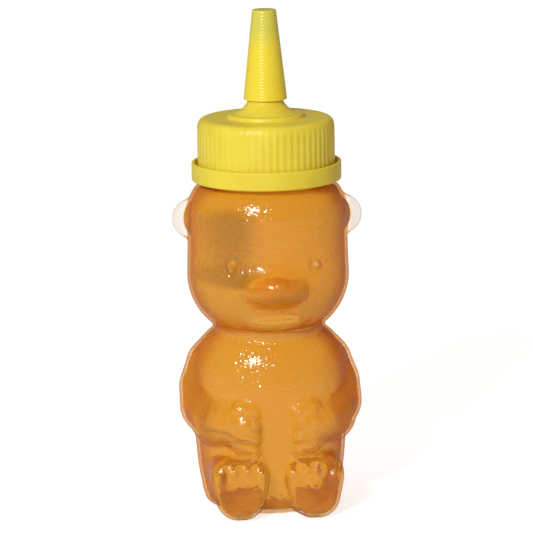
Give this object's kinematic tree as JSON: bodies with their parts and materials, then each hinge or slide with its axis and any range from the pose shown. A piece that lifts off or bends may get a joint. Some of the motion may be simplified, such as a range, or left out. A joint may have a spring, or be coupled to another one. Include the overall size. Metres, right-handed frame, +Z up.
{
  "type": "honey bear bottle",
  "caption": "Clear squeeze bottle shaped as a sitting bear, full of honey, with a ribbed screw cap, tapered spout and pull-off spout cover.",
  "frame": {"origin": "on the cap's axis, in the plane that the bottle stands on", "axes": "+Z up along the cap's axis, -Y the way the bear faces, +X across the bear"},
  "size_m": [0.0584, 0.0575, 0.1533],
  "materials": {
    "clear_plastic": "clear, finely pebbled",
    "honey": "clear amber liquid",
    "liner": "foam",
    "yellow_plastic": "satin",
    "cover_plastic": "satin, slightly translucent"
  },
  "bodies": {
    "bottle_body": {"bottle": "clear_plastic", "honey_fill": "honey"},
    "liner_body": {"cap_liner": "liner"},
    "cap_body": {"screw_cap": "yellow_plastic"},
    "band_body": {"tamper_band": "yellow_plastic"},
    "cover_body": {"spout_cover": "cover_plastic"}
  },
  "joints": [
    {"name": "cap_rise", "type": "slide", "parent": "bottle_body", "child": "liner_body", "axis": [0, 0, 1], "range_m": [0, 0.016]},
    {"name": "cap_turn", "type": "hinge", "parent": "liner_body", "child": "cap_body", "pos_m": [0, 0, 0.11], "axis": [0, 0, 1], "range_deg": [0, 1330]},
    {"name": "band_turn", "type": "hinge", "parent": "bottle_body", "child": "band_body", "pos_m": [0, 0, 0.104], "axis": [0, 0, 1], "continuous": true},
    {"name": "cover_pull", "type": "slide", "parent": "cap_body", "child": "cover_body", "axis": [0, 0, 1], "range_m": [0, 0.03]}
  ],
  "couplings": [
    {"joint": "cap_rise", "follows": "cap_turn", "m_per_rad": 0.00067323}
  ]
}
